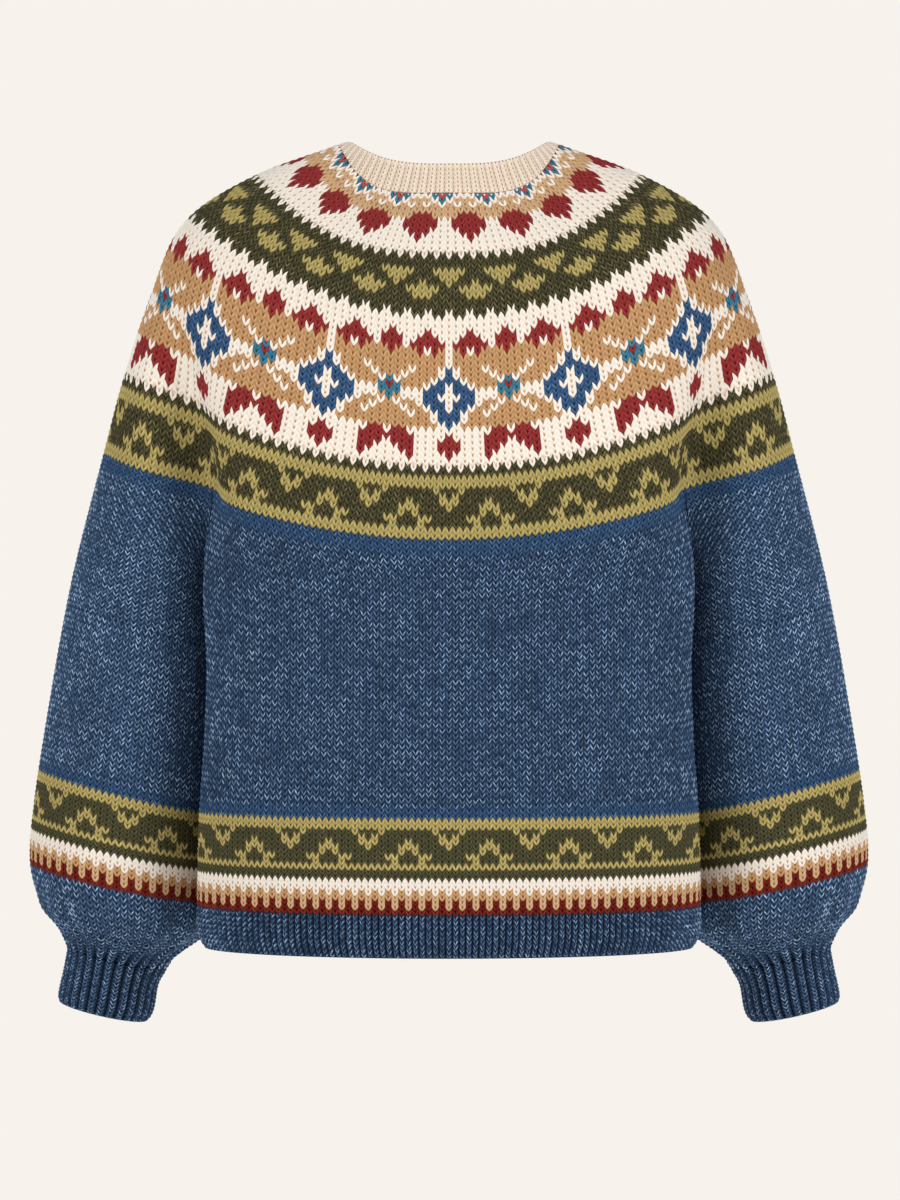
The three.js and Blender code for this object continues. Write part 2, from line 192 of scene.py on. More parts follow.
def yokeRing(level):
    ring = curveThrough(yokeForm["rings"][:, 0], yokeForm["rings"][:, 1:], np.array([level]))[0]
    points = ringPoints(ring)
    depth = ease((level - yokeForm["foldStart"]) / (1 - yokeForm["foldStart"]))
    for x, inY in zip(yokeForm["foldsX"], yokeForm["foldsInY"]):
        middle = math.asin(min(1, x / ring[0]))
        at = middle if inY > 0 else math.pi - middle
        near = depth * np.exp(-(((angles - at) / yokeForm["foldWidth"]) ** 2))
        points[:, 0] -= yokeForm["foldInX"] * near
        points[:, 1] += inY * near
    return wholeRing(evenHalf(points, halfColumns))


# Outward directions of a field of points, rows down and columns round from the centre back
def normalsOf(field):
    wide = np.roll(field, -1, axis=1) - np.roll(field, 1, axis=1)
    down = np.gradient(field, axis=0)
    n = np.cross(down, wide)
    return n / np.linalg.norm(n, axis=2, keepdims=True)


# Values of a field between its rows and round its columns
def sample(field, row, share):
    down, across = field.shape[:2]
    row = np.clip(row, 0, down - 1.0001)
    column = (share % 1.0) * across
    r, c = row.astype(int), np.floor(column).astype(int)
    fr, fc = row - r, column - c
    c %= across
    beside = (c + 1) % across
    if field.ndim == 3:
        fr, fc = fr[..., None], fc[..., None]
    upper = mix(field[r, c], field[r, beside], fc)
    lower = mix(field[r + 1, c], field[r + 1, beside], fc)
    return mix(upper, lower, fr)


# Field rows at half stitch rows from one row above the first, spaced evenly along each column
# between the marks (stitch row, field row)
def rowField(field, marks):
    run = runDown(stepsDown(field))
    index = np.arange(len(run), dtype=float)
    rows = [m[0] for m in marks]
    wanted = np.arange(-2, 2 * rows[-1] + 2.5) / 2
    out = np.empty((len(wanted), field.shape[1]))
    for c in range(field.shape[1]):
        at = np.interp([m[1] for m in marks], index, run[:, c])
        first = (at[1] - at[0]) / (rows[1] - rows[0])
        last = (at[-1] - at[-2]) / (rows[-1] - rows[-2])
        knownRows = [rows[0] - 1, *rows, rows[-1] + 1]
        lengths = np.interp(wanted, knownRows, [at[0] - first, *at, at[-1] + last])
        out[:, c] = np.interp(lengths, run[:, c], index)
    return out


# The field row of a stitch row at a share of the way round
def fieldRowAt(places, v, share):
    return sample(places, 2 * (v + 1), share)


# A chart row of yarn letters repeated round the piece, the first letter at column 0
def charted(rows, columns):
    return np.array([[yarnNames.index(row[c % len(row)]) for c in range(columns)] for row in rows])


# A stretch of knitting with count stitches round, as a grid of four faces across and two down a
# stitch. Ribbed gives the row from which ribs rise and the number of rows that they take to rise.
def knitZone(field, normals, places, chart, count, shareAt, ribbed=None, depth=1.0, ribEvery=2,
             flatTop=None, flatEnds=(False, False)):
    rows, columns = chart.shape
    isRound = columns == count
    i = np.arange(facesAcross * columns + (0 if isRound else 1))
    j = np.arange(facesDown * rows + 1)
    u, v = np.meshgrid(i / facesAcross, j / facesDown)
    fromEnds = [away for away, isFlat in zip((v, rows - v), flatEnds) if isFlat]
    inStitch = i % facesAcross
    zig = np.broadcast_to((0.5 - np.abs(inStitch - 2) / 2) * stitch["slant"], u.shape).copy()
    if flatTop is not None:
        zig *= 1 - flatTop(u) * np.clip(1 - v, 0, 1)
    for away in fromEnds:
        zig *= np.clip(away * stitch["straightening"], 0, 1)
    share = shareAt(u, v)
    fieldRow = fieldRowAt(places, np.clip(v, stitch["seam"], rows - stitch["seam"]) + zig, share)
    onRidge, onLeg, onMiddle = (j % facesDown == 1)[:, None], inStitch % 2 == 1, inStitch == 2
    height = np.where(
        onRidge,
        np.where(onLeg, stitch["crown"], stitch["tip"]),
        np.where(onLeg, stitch["side"], np.where(onMiddle, stitch["hole"], stitch["between"])),
    )
    relief = (height - stitch["hole"]) / (stitch["crown"] - stitch["hole"])
    if ribbed:
        begins, over = ribbed
        wave = np.cos(2 * math.pi * (u - 0.5) / ribEvery) * ease((v - begins) / over)
        lowered = np.where(wave < rib["sunkFrom"], rib["sunkHeight"], 1)
        height = height * lowered + depth * (wave - rib["drop"] * np.abs(wave))
        # Painted shade: the sunk columns of a rib are darkened
        shade = 1 - (rib["shade"] - rib["light"] * wave) * np.abs(wave) * depth
        relief = relief * np.clip(shade, rib["darkest"], 1)
    for away in fromEnds:
        height = height * np.clip(away, stitch["edgeHeight"], 1)
    point = sample(field, fieldRow, share) + sample(normals, fieldRow, share) * height[..., None]
    return {"point": point, "relief": relief, "u": u, "v": v, "chart": chart, "round": isRound}


# The inner face: every few stitches, at one wall's depth, in the yarn that fills most of its row
def innerFace(field, normals, places, chart, count, shareAt, columnStep, rowStep):
    rows, columns = chart.shape
    isRound = columns == count
    across = np.linspace(0, columns, columns // columnStep + 1)
    if isRound:
        across = across[:-1]
    steps = max(2, round(rows / rowStep))
    u, v = np.meshgrid(across, np.linspace(0.1, rows - 0.1, steps + 1))
    share = shareAt(u, v)
    fieldRow = fieldRowAt(places, v, share)
    point = sample(field, fieldRow, share) - sample(normals, fieldRow, share) * stitch["wall"]
    middle = np.clip(((v[:-1, 0] + v[1:, 0]) / 2).astype(int), 0, rows - 1)
    yarn = np.array([np.bincount(chart[r]).argmax() for r in middle])
    return {"point": point, "u": u, "v": v, "yarn": yarn, "round": isRound}


# Triangles between two lines of points that run the same way, by their share of the way along
def zipped(a, b, closed):
    shareA, shareB = (
        np.arange(len(line)) / len(line) if closed else np.linspace(0, 1, len(line)) for line in (a, b)
    )
    endA, endB = (len(a), len(b)) if closed else (len(a) - 1, len(b) - 1)
    onA = onB = 0
    triangles = []
    while onA < endA or onB < endB:
        nextA = shareA[onA + 1] if onA + 1 < len(a) else 1.0
        nextB = shareB[onB + 1] if onB + 1 < len(b) else 1.0
        here = (a[onA % len(a)], b[onB % len(b)])
        if onB >= endB or (onA < endA and nextA <= nextB):
            onA += 1
            triangles.append((*here, a[onA % len(a)]))
        else:
            onB += 1
            triangles.append((*here, b[onB % len(b)]))
    return np.array(triangles)


# Turns a closed line of points so that it starts beside the first point of another
def startedAt(first, line, places):
    return np.roll(line, -np.argmin(np.linalg.norm(places - first, axis=1)))


# The strands of one colour differ a little, by corner and by face
strands = {"corner": 0.5, "face": 0.35, "heatherRelief": 1.5, "leastHeather": 0.1}


# Each corner is painted between its yarn's crown colour and the painted shade of its gap, by how high it
# stands
def paintYarnsAndShade(mesh, relief, faceYarn, loopVertex, loopFace):
    yarn = faceYarn[loopFace]
    fleck = rng.normal(0, 1, len(relief))[loopVertex]
    strand = rng.normal(0, 1, len(faceYarn))[loopFace]
    tone = relief[loopVertex]
    bright = np.clip(tone, 0, 1) ** narrowness[yarn]
    colour = mix(gapShade[yarn], crowns[yarn], bright[:, None])
    uneven = variation[yarn] * (strands["corner"] * fleck + strands["face"] * strand)
    colour = np.clip(colour * np.exp(uneven)[:, None], 0, 1)
    rgba = np.concatenate([colour, np.ones((len(colour), 1))], axis=1)
    paint = mesh.color_attributes.new("yarn", "FLOAT_COLOR", "CORNER")
    paint.data.foreach_set("color", rgba.astype(np.float32).ravel())
    # Painted shade: the heather fades towards the gaps, by how high a corner stands
    flecked = mesh.attributes.new("heatherAndShade", "FLOAT", "CORNER")
    amount = heatherAndShade[yarn] * np.clip(tone * strands["heatherRelief"], strands["leastHeather"], 1)
    flecked.data.foreach_set("value", amount.astype(np.float32))


# Stitch coordinates at the corners. The faces that close a round count on past its last stitch.
def setStitches(mesh, u, v, around, loopFace, faceCount):
    biggest = np.zeros(faceCount)
    np.maximum.at(biggest, loopFace, u)
    biggest = biggest[loopFace]
    u = np.where(biggest - u > around / 3, u + np.ceil(biggest), u)
    uv = mesh.uv_layers.new(name="stitches")
    uv.data.foreach_set("uv", np.stack([u, v], axis=1).astype(np.float32).ravel())


# One closed piece of knitting from its zones and its inner face
def build(name, zones, inner, look, nodes):
    points, relief, us, vs = [], [], [], []
    quads, quadYarn, tris, triYarn = [], [], [], []

    # Adds a grid of points. Returns their numbers, and those at the left and the right of its faces.
    def addGrid(part, tone, rowsAbove):
        rows, columns = part["point"].shape[:2]
        index = sum(map(len, points)) + np.arange(rows * columns).reshape(rows, columns)
        points.append(part["point"].reshape(-1, 3))
        relief.append(tone)
        us.append(part["u"].ravel())
        vs.append(part["v"].ravel() + rowsAbove)
        if part["round"]:
            return index, index, np.roll(index, -1, axis=1)
        return index, index[:, :-1], index[:, 1:]

    def addZip(a, b, closed, yarn):
        tris.append(zipped(a, b, closed))
        triYarn.append(np.full(len(tris[-1]), yarn))

    grids = []
    rowsAbove = 0
    for zone in zones:
        index, left, right = addGrid(zone, zone["relief"].ravel(), rowsAbove)
        rowsAbove += len(zone["chart"])
        corners = np.stack([left[:-1], left[1:], right[1:], right[:-1]], axis=-1)
        quads.append(corners.reshape(-1, 4))
        byRow = np.repeat(zone["chart"], facesDown, axis=0)
        quadYarn.append(np.repeat(byRow, facesAcross, axis=1).ravel())
        grids.append(index)
    for upper, lower, above, below in zip(grids, grids[1:], zones, zones[1:]):
        line = startedAt(above["point"][-1, 0], lower[0], below["point"][0])
        addZip(upper[-1], line, True, below["chart"][0, 0])

    # The plain inner face, and the rims that close the wall
    index, left, right = addGrid(inner, np.full(inner["u"].size, stitch["innerTone"]), 0)
    corners = np.stack([left[:-1], right[:-1], right[1:], left[1:]], axis=-1)
    quads.append(corners.reshape(-1, 4))
    quadYarn.append(np.repeat(inner["yarn"], left.shape[1]))
    top, bottom = zones[0], zones[-1]
    topYarn, bottomYarn = top["chart"][0, 0], bottom["chart"][-1, 0]
    if inner["round"]:
        topRim = startedAt(top["point"][0, 0], index[0], inner["point"][0])
        bottomRim = startedAt(bottom["point"][-1, 0], index[-1], inner["point"][-1])
        addZip(grids[0][0], topRim, True, topYarn)
        addZip(grids[-1][-1], bottomRim, True, bottomYarn)
    else:
        outer = grids[0]
        addZip(outer[0], index[0], False, topYarn)
        addZip(outer[-1], index[-1], False, bottomYarn)
        addZip(outer[:, 0], index[:, 0], False, bottomYarn)
        addZip(outer[:, -1], index[:, -1], False, bottomYarn)

    allQuads, allTris = np.concatenate(quads), np.concatenate(tris)
    mesh = bpy.data.meshes.new(name)
    metres = np.concatenate(points) * 0.001
    mesh.from_pydata(metres.tolist(), [], allQuads.tolist() + allTris.tolist())
    work = bmesh.new()
    work.from_mesh(mesh)
    bmesh.ops.recalc_face_normals(work, faces=work.faces)
    work.to_mesh(mesh)
    work.free()

    sizes = np.concatenate([np.full(len(allQuads), 4), np.full(len(allTris), 3)])
    loopVertex = np.empty(len(mesh.loops), int)
    mesh.loops.foreach_get("vertex_index", loopVertex)
    loopFace = np.repeat(np.arange(len(sizes)), sizes)
    faceYarn = np.concatenate(quadYarn + triYarn)
    paintYarnsAndShade(mesh, np.concatenate(relief), faceYarn, loopVertex, loopFace)
    u, v = np.concatenate(us)[loopVertex], np.concatenate(vs)[loopVertex]
    setStitches(mesh, u, v, top["chart"].shape[1], loopFace, len(sizes))

    mesh.polygons.foreach_set("use_smooth", np.ones(len(mesh.polygons), bool))
    mesh.update()
    obj = bpy.data.objects.new(name, mesh)
    scene.collection.objects.link(obj)
    mesh.materials.append(look)
    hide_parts(*nodes)
    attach(obj, "root")
    print(name, "triangles", int((sizes - 2).sum()))
    return obj


# How the strands lie in a stitch, in stitches along and rows down, and how strong each effect is.
# A pair gives the ends that a random or a ramped value runs between.
yarnForm = {
    "wanderScale": 0.9, "wanderDown": 0.7, "wanderAlong": 0.35,
    "shift": 0.5, "slide": 0.16, "fleckLine": (0.02, 0.19), "fleckEnds": (0.31, 0.49),
    "fleckStrength": (0.18, 1.25), "patchScale": 0.16, "patchStrength": (0.6, 1.25),
    "furrowRow": (0.26, 0.5, 0.9), "furrowColumn": (0.36, 0.5, 0.75), "deepestFurrowShade": 1.1,
    "furrowShadeTint": (0.35, 0.42, 0.5),
    "streakScale": (0.8, 0.05, 1), "streakTone": (0.84, 1.16),
    "holesAlong": 7.5, "holesDown": 4.6, "holeRow": 0.42, "holeSize": (0.5, 1.3),
    "fibreScale": (3.2, 11, 1), "fibreNoise": 1.6, "fibreTone": (0.86, 1.14),
    "bump": 0.35, "bumpHeight": 0.0004, "gloss": 0.1,
}


# Yarn: the colours of the charts, with painted shade in each stitch's middle hole and in the furrows,
# pale heather flecks along the legs that also paint a crown highlight, and fine fibres along each strand
def yarnLook(name, roughness, fleckAndHighlightTint, holeShadeTint):
    look = bpy.data.materials.new(name)
    look.use_nodes = True
    nodes, links = look.node_tree.nodes, look.node_tree.links
    shader = nodes["Principled BSDF"]
    form = yarnForm

    def value(operation, *inputs):
        node = nodes.new("ShaderNodeMath")
        node.operation = operation
        for socket, given in zip(node.inputs, inputs):
            if isinstance(given, (int, float)):
                socket.default_value = given
            else:
                links.new(given, socket)
        return node.outputs[0]

    def ramp(given, fromMin, fromMax, toMin, toMax):
        node = nodes.new("ShaderNodeMapRange")
        node.interpolation_type = "SMOOTHSTEP"
        links.new(given, node.inputs["Value"])
        for socket, number in (
            ("From Min", fromMin), ("From Max", fromMax), ("To Min", toMin), ("To Max", toMax),
        ):
            node.inputs[socket].default_value = number
        return node.outputs["Result"]

    def attribute(title):
        node = nodes.new("ShaderNodeAttribute")
        node.attribute_name = title
        return node

    def separated(kind, given):
        node = nodes.new(kind)
        links.new(given, node.inputs[0])
        return node.outputs

    def noise(scale, vector):
        node = nodes.new("ShaderNodeTexNoise")
        node.inputs["Scale"].default_value = scale
        links.new(vector, node.inputs["Vector"])
        return node

    def drawnOut(scale, vector):
        node = nodes.new("ShaderNodeMapping")
        node.inputs["Scale"].default_value = scale
        links.new(vector, node.inputs["Vector"])
        return node.outputs["Vector"]

    def multiplied(colour, by, factor=1.0):
        node = nodes.new("ShaderNodeMix")
        node.data_type = "RGBA"
        node.blend_type = "MULTIPLY"
        node.clamp_result = False
        links.new(colour, node.inputs[6])
        if isinstance(by, tuple):
            node.inputs[7].default_value = by
        else:
            links.new(by, node.inputs[7])
        if isinstance(factor, float):
            node.inputs["Factor"].default_value = factor
        else:
            links.new(factor, node.inputs["Factor"])
        return node.outputs[2]

    # A value from 0 to 1, taken from its middle and multiplied
    def centred(given, amount):
        return value("MULTIPLY", value("SUBTRACT", given, 0.5), amount)

    def fromMiddle(given):
        return value("ABSOLUTE", value("SUBTRACT", value("FRACT", given), 0.5))

    uv = nodes.new("ShaderNodeUVMap")
    uv.uv_map = "stitches"
    stitches = uv.outputs["UV"]
    along, down = separated("ShaderNodeSeparateXYZ", stitches)[:2]

    # The strands wander a little from the places of the stitches
    wander = noise(form["wanderScale"], stitches).outputs["Color"]
    wandered = separated("ShaderNodeSeparateColor", wander)
    offDown = value("ADD", down, centred(wandered[0], form["wanderDown"]))
    offAlong = value("ADD", along, centred(wandered[1], form["wanderAlong"]))

    # One random colour for each leg of each stitch
    leg = nodes.new("ShaderNodeCombineXYZ")
    links.new(value("FLOOR", value("MULTIPLY", along, 2)), leg.inputs[0])
    links.new(value("FLOOR", down), leg.inputs[1])
    chance = nodes.new("ShaderNodeTexWhiteNoise")
    chance.noise_dimensions = "2D"
    links.new(leg.outputs[0], chance.inputs["Vector"])
    chances = separated("ShaderNodeSeparateColor", chance.outputs["Color"])

    # Pale heather flecks along the legs, also a painted highlight on their crowns, and painted shade in
    # the furrows between rows and columns
    offLine = fromMiddle(value("ADD", offDown, centred(chances[1], form["shift"])))
    line = ramp(offLine, *form["fleckLine"], 1, 0)
    slide = centred(chances[2], form["slide"])
    between = ramp(value("ADD", fromMiddle(offAlong), slide), *form["fleckEnds"], 1, 0)
    patches = noise(form["patchScale"], stitches).outputs["Fac"]
    strength = value(
        "MULTIPLY", ramp(chances[0], 0.05, 1, *form["fleckStrength"]),
        ramp(patches, 0.3, 0.7, *form["patchStrength"]),
    )
    heathered = attribute("heatherAndShade").outputs["Fac"]
    # The heather flecks run along each leg's crown line, where they also stand in for a painted
    # highlight
    fleck = value("MULTIPLY", value("MULTIPLY", line, between), strength)
    fleck = value("MULTIPLY", fleck, heathered)
    rowStart, rowEnd, rowDepth = form["furrowRow"]
    columnStart, columnEnd, columnDepth = form["furrowColumn"]
    # Painted shade in the furrows between rows and columns, weighed by the yarn's heather amount
    furrowShade = value(
        "ADD", ramp(offLine, rowStart, rowEnd, 0, rowDepth),
        ramp(fromMiddle(along), columnStart, columnEnd, 0, columnDepth),
    )
    furrowShade = value("MULTIPLY", value("MINIMUM", furrowShade, form["deepestFurrowShade"]), heathered)

    # Columns of stitches that are a little paler or darker
    streaks = noise(1, drawnOut(form["streakScale"], stitches)).outputs["Fac"]
    streakTone = ramp(streaks, 0.3, 0.7, *form["streakTone"])

    # Painted shade: a darker dot in the hole at each stitch's middle
    holeAlong = centred(value("FRACT", along), form["holesAlong"])
    holeDown = centred(value("FRACT", value("ADD", down, form["holeRow"])), form["holesDown"])
    squares = [value("MULTIPLY", way, way) for way in (holeAlong, holeDown)]
    hole = ramp(value("SQRT", value("ADD", *squares)), *form["holeSize"], 1, 0)

    fibres = noise(form["fibreNoise"], drawnOut(form["fibreScale"], stitches))
    fibres.inputs["Detail"].default_value = 4
    fibres.inputs["Roughness"].default_value = 0.65
    fibreTone = ramp(fibres.outputs["Fac"], 0.3, 0.7, *form["fibreTone"])

    colour = multiplied(attribute("yarn").outputs["Color"], (*fleckAndHighlightTint, 1), fleck)
    colour = multiplied(colour, (*form["furrowShadeTint"], 1), furrowShade)
    colour = multiplied(colour, fibreTone)
    colour = multiplied(colour, streakTone, heathered)
    colour = multiplied(colour, (*holeShadeTint, 1), hole)
    bump = nodes.new("ShaderNodeBump")
    bump.inputs["Strength"].default_value = form["bump"]
    bump.inputs["Distance"].default_value = form["bumpHeight"]
    links.new(fibres.outputs["Fac"], bump.inputs["Height"])
    links.new(colour, shader.inputs["Base Color"])
    links.new(bump.outputs["Normal"], shader.inputs["Normal"])
    shader.inputs["Roughness"].default_value = roughness
    shader.inputs["Specular IOR Level"].default_value = form["gloss"]
    return look


# The last colours tint the painted shade in each stitch's hole
wool = yarnLook("heathered wool", 0.92, (9.0, 6.6, 4.8), (0.5, 0.45, 0.45))
paleWool = yarnLook("pale wool", 0.94, (3.4, 3.2, 2.8), (0.66, 0.47, 0.30))
neckWool = yarnLook("neckband wool", 0.94, (3.4, 3.2, 2.8), (0.42, 0.27, 0.15))

# The yoke, in four stretches with more stitches each. Each has its stitches round, the stitch at the
# centre back, and marks that give the level that a row reaches.
yokeCharts = {
    "flowers": ["peccce", "eclllc", "clclcl"],
    "hearts": ["l", "llrrrll", "crrrrrc", "crrrrrc", "ccrrrcc", "cccrccc", "c", "c"],
    "stars": [
        "co", "o", "o", "gggooogg", "ggooooog", "gooogooo", "oogggggo", "ooogggoo", "o", "o",
        "coo", "c", "c",
        "cccrccccrccccrcc", "ccrrrccrrrccrrrc", "crrrrrcrrrcrrrrr", "ctrcrtttrtttrcrt",
        "cttttttttttttttt", "cttttttttttttttt",
        "bctttctttttctttc", "bcttttctttcttttc", "bbcttttcecttttcb", "cbbcttteretttcbb",
        "cbbbccceeecccbbb", "ccbbccctetcccbbc", "cbbbcttctcttcbbb", "cbbcttctttcttcbb",
        "bbcttctttttcttcb", "bbctttttttttttcb", "bctttttttttttttc",
        "ccccccrrcrrccccc", "rccccrrrrrrrcccc", "rrcccrrrcrrrcccr", "rrcccrrcccrrcccr",
        "rccccrcccccrcccc", "c",
    ],
    "waves": [
        "co", "o", "g", "g", "oogooooooogo", "ogooooooooog", "ggoooogoooog", "goooogggoooo",
        "ooooogogoooo", "oooggoooggoo", "oooogooogooo", "g", "g",
    ],
}
yokeStretches = {
    "flowers": (108, 1.4, [(0, 0.0), (3, 0.0442)]),
    "hearts": (140, 0.65, [(0, 0.0442), (8, 0.1827)]),
    "stars": (192, 0.5, [(0, 0.1827), (1, 0.2), (13, 0.4187), (19, 0.52), (30, 0.68), (36, 0.7783)]),
    "waves": (yokeForm["stitches"], 0.5, [(0, 0.7783), (1, 0.7947), (13, 1.0)]),
}
yokeLevels, levelRow = evenPlaces(-0.03, 1.03, 107)
yokeField = np.array([yokeRing(level) for level in yokeLevels])
yokeNormals = normalsOf(yokeField)


# Shares of the way round for a stretch, closer at the centre back where the yoke says so
def yokeShare(count, centreStitch, marks):
    def shareAt(u, v):
        share = (u - centreStitch) / count
        level = np.interp(v, [row for row, _ in marks], [level for _, level in marks])
        closer = yokeForm["closer"] * np.interp(level, yokeForm["closerLevels"], [0, 1, 1, 0])
        return share - closer * np.sin(6 * math.pi * share)
    return shareAt


zones = []
for title, (count, centreStitch, marks) in yokeStretches.items():
    rows = rowField(yokeField, [(row, levelRow(level)) for row, level in marks])
    chart = charted(yokeCharts[title], count)
    shareAt = yokeShare(count, centreStitch, marks)
    zones.append(knitZone(yokeField, yokeNormals, rows, chart, count, shareAt))
yokeStitches = yokeForm["stitches"]
rows = rowField(yokeField, [(0, levelRow(0)), (yokeForm["innerRows"], levelRow(1))])
chart = charted(sum(yokeCharts.values(), []), yokeStitches)
evenYoke = lambda u, v: (u - 0.5) / yokeStitches
inner = innerFace(yokeField, yokeNormals, rows, chart, yokeStitches, evenYoke, 2, 3)
yoke = build("knit_yoke", zones, inner, paleWool, ["yoke"])
print("yoke knitted")

# Level rings of the body: Z, half width, Y at the back, the side and the front, and the sleeve's
# dent. An underarm has some of its stitches, and over the first even rows they spread evenly.
bodyForm = {
    "rings": np.array([
        [-338, 196, -127, -38, 125, 26],
        [-400, 192, -127, -38, 125, 20],
        [-460, 191, -127, -38, 126, 12],
        [-520, 192, -127, -38, 126, 5],
        [-580, 191, -126, -38, 125, 1],
    ]),
    "dentAngle": 1.83, "dentWidth": 0.42,
    "stitches": 204, "underarm": 18, "evenRows": 18, "plainRows": 52, "bandFrom": 4.89,
}
# Sleeve rings by their outermost and innermost points, for the arm on the +X side. Knots counts the
# places down the sleeve where its stretches of knitting begin and end, and rows what each has.
sleeveForm = {
    "rings": np.array([
        [286, -312, 177, -348, 20, 66],
        [297, -358, 177, -394, 27, 66],
        [311, -431, 179, -467, 36, 68],
        [324, -509, 182, -543, 45, 74],
        [328, -557, 184, -588, 50, 77],
        [320, -589, 191, -612, 52, 70],
        [305, -609, 208, -626, 53, 55],
        [299, -626, 227, -641, 54, 38],
    ]),
    "gathers": 14, "gatherDepth": 2.4, "gatherFrom": -575, "gatherFade": 24,
    "knots": {"top": 1, "wider": 2.95, "band": 4.68, "balloon": 6.03, "drawn": 7.85, "cuff": 9},
    "rows": {"upper": 32, "plain": 31, "band": 19, "balloon": 11, "drawn": 7},
    "upperStitches": 72, "lowerStitches": 84, "drawnStitches": 56, "knitShare": 0.6,
    "bandTurn": 5, "evenRows": 18, "ribDepth": 1.5,
}
# The corner where a sleeve meets its cuff is rounded by so many millimetres on the body's side
cornerForm = {"amount": 4.5, "reach": 9}


def bodyRing(ring):
    z, halfWidth, backY, sideY, frontY, dent = ring
    toEnd = np.cos(angles)
    away = (angles - bodyForm["dentAngle"]) / bodyForm["dentWidth"]
    points = np.stack([
        (halfWidth - dent * np.exp(-(away ** 2))) * np.sin(angles),
        mix(sideY, np.where(toEnd > 0, backY, frontY), np.abs(toEnd)),
        np.full(len(angles), float(z)),
    ], axis=1)
    return wholeRing(evenHalf(points, halfColumns))


# A sleeve's ring from the back fold over the arm to the front fold and back along the underarm.
# The fold lies 3/32 of the way round from its innermost point, so the arm has 26/32 of the ring.
armShare, outerShare = 26 / 32, 13 / 32


def armRing(ring, turn=3 / 32):
    outerX, outerZ, innerX, innerZ, y, halfDepth = ring
    around = np.linspace(0, 2 * math.pi, 481)
    along = (1 + np.cos(around)) / 2
    points = np.stack([
        mix(outerX, innerX, along), y - halfDepth * np.sin(around), mix(outerZ, innerZ, along),
    ], axis=1)
    even = evenHalf(points, fineColumns)[:-1]
    return np.roll(even, -round(turn * fineColumns), axis=0)


# Points of the yoke's lower edge, counted in its stitches from the centre back
def yokeLine(level, at):
    return sample(yokeField, np.full(at.shape, levelRow(level)), at / yokeStitches)


def lineAt(line, at):
    place = np.linspace(0, 1, len(line))
    return np.stack([np.interp(at, place, line[:, k]) for k in range(3)], axis=-1)


def ringAt(ring, share):
    return sample(np.stack([ring, ring]), np.zeros(share.shape), share)


# The arm takes the yoke's stitches from the back fold to the front fold
backFold, frontFold = 42.5, 90.5
yokeEnd, yokeAbove = 1, 0.95
across = np.linspace(0, 1, 265)
atBack, atFront = (yokeLine(yokeEnd, np.array([fold])) for fold in (backFold, frontFold))
underarm = mix(atBack, atFront, across[:, None])
underarm[:, 2] -= yokeForm["underarmSag"] * np.sin(math.pi * across)
armRings = [armRing(ring) for ring in sleeveForm["rings"]]
bodyRings = [bodyRing(ring) for ring in bodyForm["rings"]]

# Top of the body. Its half has 36 shares, with those from 15 to 21 under the arm.
wholeShares, backShares, frontShares = 72, 15, 21
underShares = frontShares - backShares
shares = np.linspace(0, wholeShares / 2, halfColumns + 1)
alongYoke = np.where(
    shares <= backShares,
    shares / backShares * backFold,
    frontFold + (shares - frontShares) / backShares * (yokeStitches / 2 - frontFold),
)
under = np.clip((shares - backShares) / underShares, 0, 1)
isUnder = (shares > backShares) & (shares < frontShares)
top, above = yokeLine(yokeEnd, alongYoke), yokeLine(yokeAbove, alongYoke)
top[isUnder] = lineAt(underarm, under[isUnder])
above[isUnder] = ringAt(armRings[0], 1 - under[isUnder] * (1 - armShare))
bodyKnots = np.array([wholeRing(above), wholeRing(top), *bodyRings])

# Top of the sleeve
share = np.arange(fineColumns) / fineColumns
isUnder = share > armShare
alongArm = backFold + share / armShare * (frontFold - backFold)
back = np.clip((share - armShare) / (1 - armShare), 0, 1)
top, above = yokeLine(yokeEnd, alongArm), yokeLine(yokeAbove, alongArm)
top[isUnder] = lineAt(underarm, 1 - back[isUnder])
above[isUnder] = ringAt(bodyRings[0], (frontShares - underShares * back[isUnder]) / wholeShares)
armKnots = np.array([above, top, *armRings])


# A field of points drawn down through knots, at places counted in knots
def drawnDown(knots, places):
    run = runDown(np.sqrt(stepsDown(knots)))
    before, after = neighbours(len(knots))
    slopes = (knots[after] - knots[before]) / (run[after] - run[before])[..., None]
    out = []
    for place in places:
        i = min(len(knots) - 2, max(0, int(math.floor(place))))
        span = (run[i + 1] - run[i])[:, None]
        out.append(bridged(place - i, span, knots[i], knots[i + 1], slopes[i], slopes[i + 1]))
    return np.array(out)


def outwardOf(field):
    outward = field - field.mean(axis=1, keepdims=True)
    return outward / np.linalg.norm(outward, axis=2, keepdims=True)


# Rounds the inward corner at one row of a sleeve's field on the body's side
def softened(field, row):
    outward = outwardOf(field)
    run = runDown(stepsDown(field))
    near = np.exp(-(((run - run[row]) / cornerForm["reach"]) ** 2))
    inner = np.clip(-outward[..., 0], 0, 1)
    return field + outward * (cornerForm["amount"] * inner * near)[..., None]


# Body and sleeves are drawn from a little above the yoke's edge, which is knot 1, to a little past
# their last knots
firstPlace, fieldSteps = 0.75, 24
placeRow = lambda place: (place - firstPlace) * fieldSteps
bodyField = drawnDown(bodyKnots, np.arange(firstPlace, 6.1, 1 / fieldSteps))
bodyNormals = normalsOf(bodyField)

